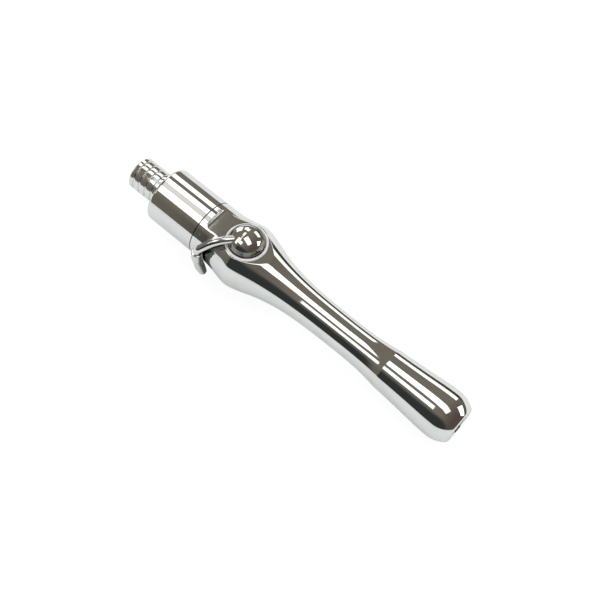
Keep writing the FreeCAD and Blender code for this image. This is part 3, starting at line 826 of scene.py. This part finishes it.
tab_rows = [
    (collar_round * (1 - math.sin(t)), 1 - 2 * collar_round / collar * (1 - math.cos(t)))
    for t in np.linspace(1.5, 0, 8)
]
tab_rows += [(at, 1.0) for at in np.linspace(0.5, dome_start, 60)]
tab_rows += [(dome_start + tab_dome * math.sin(t), math.cos(t)) for t in np.linspace(0.08, 1.5, 18)]
tab_points = []
for at, share in tab_rows:
    wide = eased(min(at, dome_start), tab_stations, tab_widths) / 2 * share
    thick = eased(min(at, dome_start), tab_stations, tab_thicknesses) / 2 * share
    swing = at / sweep_radius
    for a in around:
        outward = thick * math.cos(a) + sweep_radius * (math.cos(swing) - 1)
        drop = (sweep_radius + thick * math.cos(a)) * math.sin(swing)
        tab_points.append(lever_frame(knuckle_out + outward, wide * math.sin(a), knuckle_level - drop))
leaf = mesh_of("leaf", tab_points, rod_faces(len(tab_rows), rod_sides))
tab = finished("thumb_leaf", leaf, "rotor", "polished_chrome", "thumb_tab")
# The tab takes the lever's chrome, with the same painted shade on its underside and inner side.
finish_with(shaded_lever_chrome, tab)

# Table. A pale matt board that the valve lies on, touching the bulge and the tip bulb, so it
# stands two degrees off the valve's own level. Seen from below it is clear.
rest_slope = (bulge_radius - bulb_radius) / (crest_x - valve_x)
rest_gap = 0.04
board = 1500.0
board_corners = []
for x, y in ((-board, -board), (board, -board), (board, board), (-board, board)):
    board_corners.append((x * mm, y * mm, (rest_slope * (x - valve_x) - bulge_radius - rest_gap) * mm))
table_mesh = bpy.data.meshes.new("table")
table_mesh.from_pydata(board_corners, [], [(0, 1, 2, 3)])
table = bpy.data.objects.new("table", table_mesh)
bpy.context.scene.collection.objects.link(table)


def looked_at(tree):
    """1 for what the lens sees by itself or through a clear thing, and 0 for all other rays."""
    path = tree.nodes.new("ShaderNodeLightPath")
    seen_rays = joined(
        tree, "ShaderNodeMath", "MAXIMUM",
        _0=path.outputs["Is Camera Ray"], _1=path.outputs["Is Transmission Ray"],
    )
    return seen_rays.outputs[0]


board_paint = bpy.data.materials.new("pale board")
board_paint.use_nodes = True
tree = board_paint.node_tree
tree.nodes.clear()
matt = joined(tree, "ShaderNodeBsdfDiffuse", Color=(0.86, 0.88, 0.86, 1))
faint = joined(tree, "ShaderNodeBsdfDiffuse", Color=(0.2, 0.2, 0.2, 1))
glow = joined(tree, "ShaderNodeEmission", Color=(1, 1, 1, 1), Strength=0.87)
seen = joined(tree, "ShaderNodeAddShader", _0=faint.outputs[0], _1=glow.outputs[0])
top = joined(
    tree, "ShaderNodeMixShader", Fac=looked_at(tree), _1=matt.outputs[0], _2=seen.outputs[0],
)
clear = tree.nodes.new("ShaderNodeBsdfTransparent")
geometry = tree.nodes.new("ShaderNodeNewGeometry")
both = joined(
    tree, "ShaderNodeMixShader",
    Fac=geometry.outputs["Backfacing"], _1=top.outputs[0], _2=clear.outputs[0],
)
tree.links.new(both.outputs[0], tree.nodes.new("ShaderNodeOutputMaterial").inputs["Surface"])
finish_with(board_paint, table)

# Studio room. Brown-grey walls that the chrome mirrors, nearly black low on the lever's side, with
# a plain white backdrop where the lens looks past the valve.
world = bpy.data.worlds.new("studio")
bpy.context.scene.world = world
world.use_nodes = True
tree = world.node_tree
tree.nodes.clear()
direction = tree.nodes.new("ShaderNodeTexCoord").outputs["Generated"]
part = joined(tree, "ShaderNodeSeparateXYZ", _0=direction)
lever_side = ramped(tree, part.outputs["Y"], -0.62, -0.84, soft=True)
past_hose = ramped(tree, part.outputs["X"], -0.41, -0.32, 0.25, soft=True)
far_side = ramped(tree, part.outputs["Y"], 0.94, 0.985, soft=True)
black_wall = joined(tree, "ShaderNodeMath", "MULTIPLY", _0=lever_side, _1=past_hose)
walls = tree.nodes.new("ShaderNodeValToRGB")
tree.links.new(part.outputs["X"], walls.inputs["Fac"])
walls.color_ramp.elements[0].position = 0.0
walls.color_ramp.elements[0].color = (0.175, 0.155, 0.125, 1)
walls.color_ramp.elements[1].position = 0.75
walls.color_ramp.elements[1].color = (0.09, 0.07, 0.06, 1)
dim = mixed(tree, far_side, walls.outputs["Color"], (0.062, 0.052, 0.042, 1))
room = mixed(tree, black_wall.outputs[0], dim, (0.03, 0.036, 0.034, 1))
studio = joined(tree, "ShaderNodeBackground", Color=room, Strength=1.0)
fill = joined(tree, "ShaderNodeBackground", Color=(0.97, 0.98, 1, 1), Strength=0.66)
backdrop = joined(tree, "ShaderNodeBackground", Color=(1, 1, 1, 1), Strength=1.0)
mirrored = tree.nodes.new("ShaderNodeLightPath").outputs["Is Glossy Ray"]
around_valve = joined(
    tree, "ShaderNodeMixShader", Fac=mirrored, _1=fill.outputs[0], _2=studio.outputs[0],
)
shown = joined(
    tree, "ShaderNodeMixShader",
    Fac=looked_at(tree), _1=around_valve.outputs[0], _2=backdrop.outputs[0],
)
tree.links.new(shown.outputs[0], tree.nodes.new("ShaderNodeOutputWorld").inputs["Surface"])

# Soft boxes. Each hangs off the valve and faces its axis; the chrome shows each as one white band.
# Lean is the angle from upright, towards the lever's side, and sizes are in mm.
soft_boxes = [
    # name, lean, distance, from station, to station, width, turn in its own plane, light
    ("top box", 1.5, 400, -186, 124, 168, -18, 1.3),
    ("top hose box", -18, 400, -355, -264, 140, 0, 1.3),
    ("pale hose box", 1, 400, -328, -262, 125, 0, 0.62),
    ("lever box", 30, 1150, -570, -207, 323, 0, 1.3),
    ("lever hose box", 24, 400, -330, -264, 190, 0, 1.3),
    ("far box", -64, 400, -150, 40, 120, 0, 1.3),
    ("far hose box", -52, 400, -355, -266, 140, 0, 1.3),
    ("far end box", -60, 400, -480, -356, 170, 0, 1.3),
    ("far tip box", -53, 400, 185, 560, 210, 0, 1.8),
]


def facing(right, up, back, middle):
    """Placing matrix of a lamp or camera that looks away from its back, from a point in mm."""
    turned = Matrix((right, up, back)).transposed().to_4x4()
    return Matrix.Translation(middle * mm) @ turned


def soft_box(name, middle, outward, along, length, width, light):
    """Rectangular lamp, with its long side along one direction and its back to another."""
    lamp_data = bpy.data.lights.new(name, "AREA")
    lamp_data.shape = "RECTANGLE"
    lamp_data.size = length * mm
    lamp_data.size_y = width * mm
    lamp_data.energy = light * math.pi * lamp_data.size * lamp_data.size_y
    lamp = bpy.data.objects.new(name, lamp_data)
    lamp.matrix_world = facing(along, outward.cross(along), outward, middle)
    lamp.visible_camera = False
    bpy.context.scene.collection.objects.link(lamp)


for name, lean, distance, start, end, width, turn, light in soft_boxes:
    lean = math.radians(lean)
    turn = math.radians(turn)
    outward = Vector((0, -math.sin(lean), math.cos(lean)))
    along = Vector((math.cos(turn), 0, 0)) + outward.cross(Vector((1, 0, 0))) * math.sin(turn)
    middle = Vector(((start + end) / 2, 0, 0)) + outward * distance
    soft_box(name, middle, outward, along, end - start, width, light)

# Two more boxes past the hose end, which only the ball mirrors: name, share of the direction along
# the grip, lean, distance, length, width.
for name, along_grip, lean, distance, length, width in (
    ("hose end box", -0.585, 33, 1500.0, 300, 900),
    ("far corner box", -0.88, -58, 520.0, 190, 250),
):
    lean = math.radians(lean)
    sweep = math.sqrt(1 - along_grip**2)
    outward = Vector((along_grip, -sweep * math.sin(lean), sweep * math.cos(lean)))
    along = Vector((sweep, along_grip * math.sin(lean), -along_grip * math.cos(lean)))
    soft_box(name, Vector((valve_x, 0, flat_z)) + outward * distance, outward, along, length, width, 1.3)

# Camera. It looks down on the valve from the thumb tab's side, as the photograph does, with the
# frame turned a little so that the grip runs to the lower right.
bearing, elevation, roll = math.radians(32.4), math.radians(62.1), math.radians(9.26)
camera_distance = 356
looks_at = Vector((-70.7, 0, -0.5))
sideways = Vector((math.cos(bearing), math.sin(bearing), 0))
back = Vector((math.sin(bearing), -math.cos(bearing), math.tan(elevation))).normalized()
upright = back.cross(sideways)
right = sideways * math.cos(roll) + upright * math.sin(roll)
upper = upright * math.cos(roll) - sideways * math.sin(roll)
lens = bpy.data.cameras.new("camera")
lens.lens = 60.0
lens.sensor_width = 36.0
lens.clip_start = 0.01
camera = bpy.data.objects.new("camera", lens)
bpy.context.scene.collection.objects.link(camera)
camera.matrix_world = facing(right, upper, back, looks_at + back * camera_distance)
bpy.context.scene.camera = camera
bpy.context.scene.view_settings.view_transform = "Standard"
